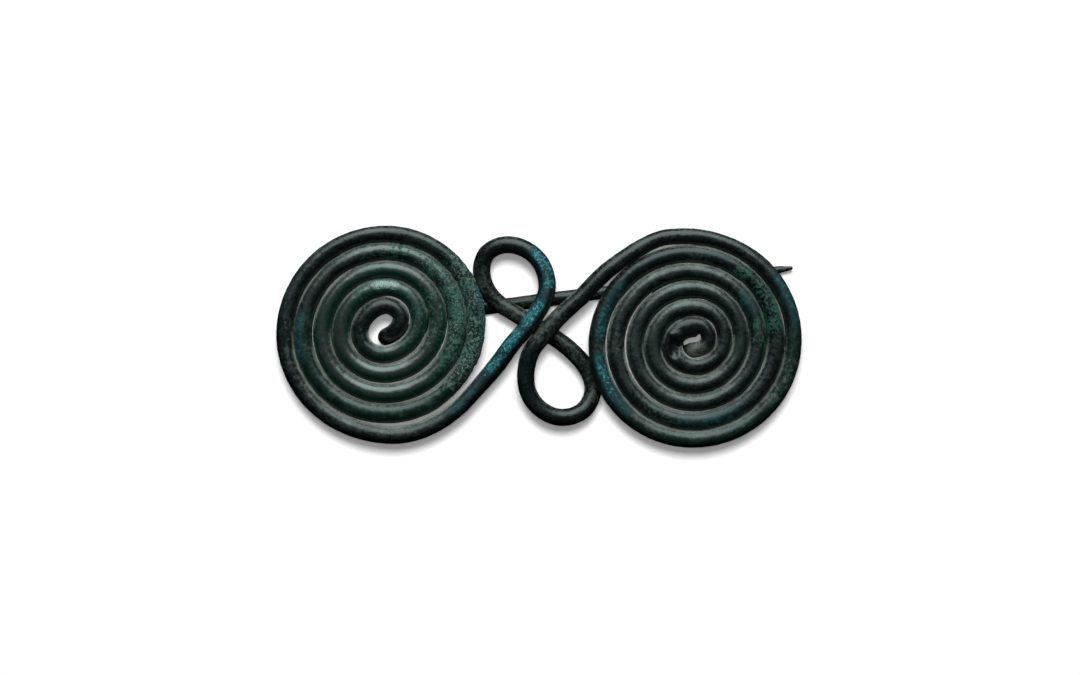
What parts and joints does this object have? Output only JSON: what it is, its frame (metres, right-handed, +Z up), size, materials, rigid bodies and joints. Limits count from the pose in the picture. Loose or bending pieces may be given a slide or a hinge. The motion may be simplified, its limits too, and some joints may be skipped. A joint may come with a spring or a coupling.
{
  "type": "spectacle fibula brooch",
  "caption": "One-piece bronze wire brooch: flat spiral discs joined by a figure-of-eight loop, with a pin and catch behind, for fastening a cloak.",
  "frame": {"origin": "on the table under the middle of the brooch as it lies on its back", "axes": "+X along the brooch from the pin's root to its tip, +Y across it towards the hooked end of the catch, +Z up out of its show side"},
  "size_m": [0.1049, 0.0442, 0.0134],
  "materials": {
    "patinated_bronze": "dark green-black patina, satin, with turquoise and green patches and fine pitting"
  },
  "bodies": {
    "root": {"fibula_wire": "patinated_bronze"}
  },
  "joints": []
}
